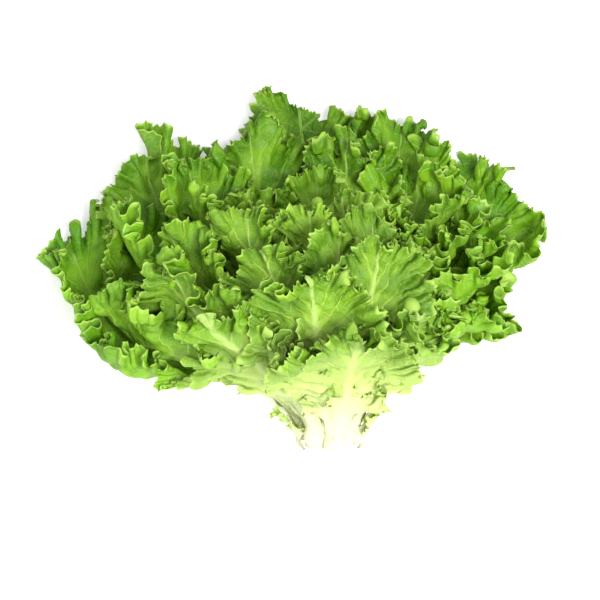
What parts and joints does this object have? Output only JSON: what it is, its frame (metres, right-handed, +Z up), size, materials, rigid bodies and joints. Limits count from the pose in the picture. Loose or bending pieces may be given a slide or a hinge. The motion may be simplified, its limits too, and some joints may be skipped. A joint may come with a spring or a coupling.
{
  "type": "head of curly leaf lettuce",
  "caption": "Whole head of curly green leaf lettuce lying on its side, its frilled leaves fanning out from a pale cut stem.",
  "frame": {"origin": "centre of the bottom of the bounding box, on the table", "axes": "+Z up, away from the table; +X across the fan of leaves, its longest extent; +Y from the cut butt towards the crown"},
  "size_m": [0.3346, 0.2572, 0.1296],
  "materials": {
    "stem": "cream white stem flesh, matt where it is cut",
    "outer_leaf": "soft satin leaf, mid green with yellow-green margins and a pale rib",
    "inner_leaf": "soft satin leaf, bright green with yellow-green margins and a pale rib",
    "heart_leaf": "soft satin leaf, light yellow-green with a pale rib",
    "basal_leaf": "soft satin leaf, lime yellow"
  },
  "bodies": {
    "root": {"basal_leaf_01": "basal_leaf", "basal_leaf_02": "basal_leaf", "heart_leaf_31": "heart_leaf", "heart_leaf_32": "heart_leaf", "heart_leaf_33": "heart_leaf", "heart_leaf_34": "heart_leaf", "heart_leaf_35": "heart_leaf", "heart_leaf_36": "heart_leaf", "heart_leaf_37": "heart_leaf", "heart_leaf_38": "heart_leaf", "heart_leaf_39": "heart_leaf", "heart_leaf_40": "heart_leaf", "heart_leaf_41": "heart_leaf", "heart_leaf_42": "heart_leaf", "inner_leaf_15": "inner_leaf", "inner_leaf_16": "inner_leaf", "inner_leaf_17": "inner_leaf", "inner_leaf_18": "inner_leaf", "inner_leaf_19": "inner_leaf", "inner_leaf_20": "inner_leaf", "inner_leaf_21": "inner_leaf", "inner_leaf_22": "inner_leaf", "inner_leaf_23": "inner_leaf", "inner_leaf_24": "inner_leaf", "inner_leaf_25": "inner_leaf", "inner_leaf_26": "inner_leaf", "inner_leaf_27": "inner_leaf", "inner_leaf_28": "inner_leaf", "inner_leaf_29": "inner_leaf", "inner_leaf_30": "inner_leaf", "outer_leaf_01": "outer_leaf", "outer_leaf_02": "outer_leaf", "outer_leaf_03": "outer_leaf", "outer_leaf_04": "outer_leaf", "outer_leaf_05": "outer_leaf", "outer_leaf_06": "outer_leaf", "outer_leaf_07": "outer_leaf", "outer_leaf_08": "outer_leaf", "outer_leaf_09": "outer_leaf", "outer_leaf_10": "outer_leaf", "outer_leaf_11": "outer_leaf", "outer_leaf_12": "outer_leaf", "outer_leaf_13": "outer_leaf", "outer_leaf_14": "outer_leaf", "stem": "stem"}
  },
  "joints": []
}
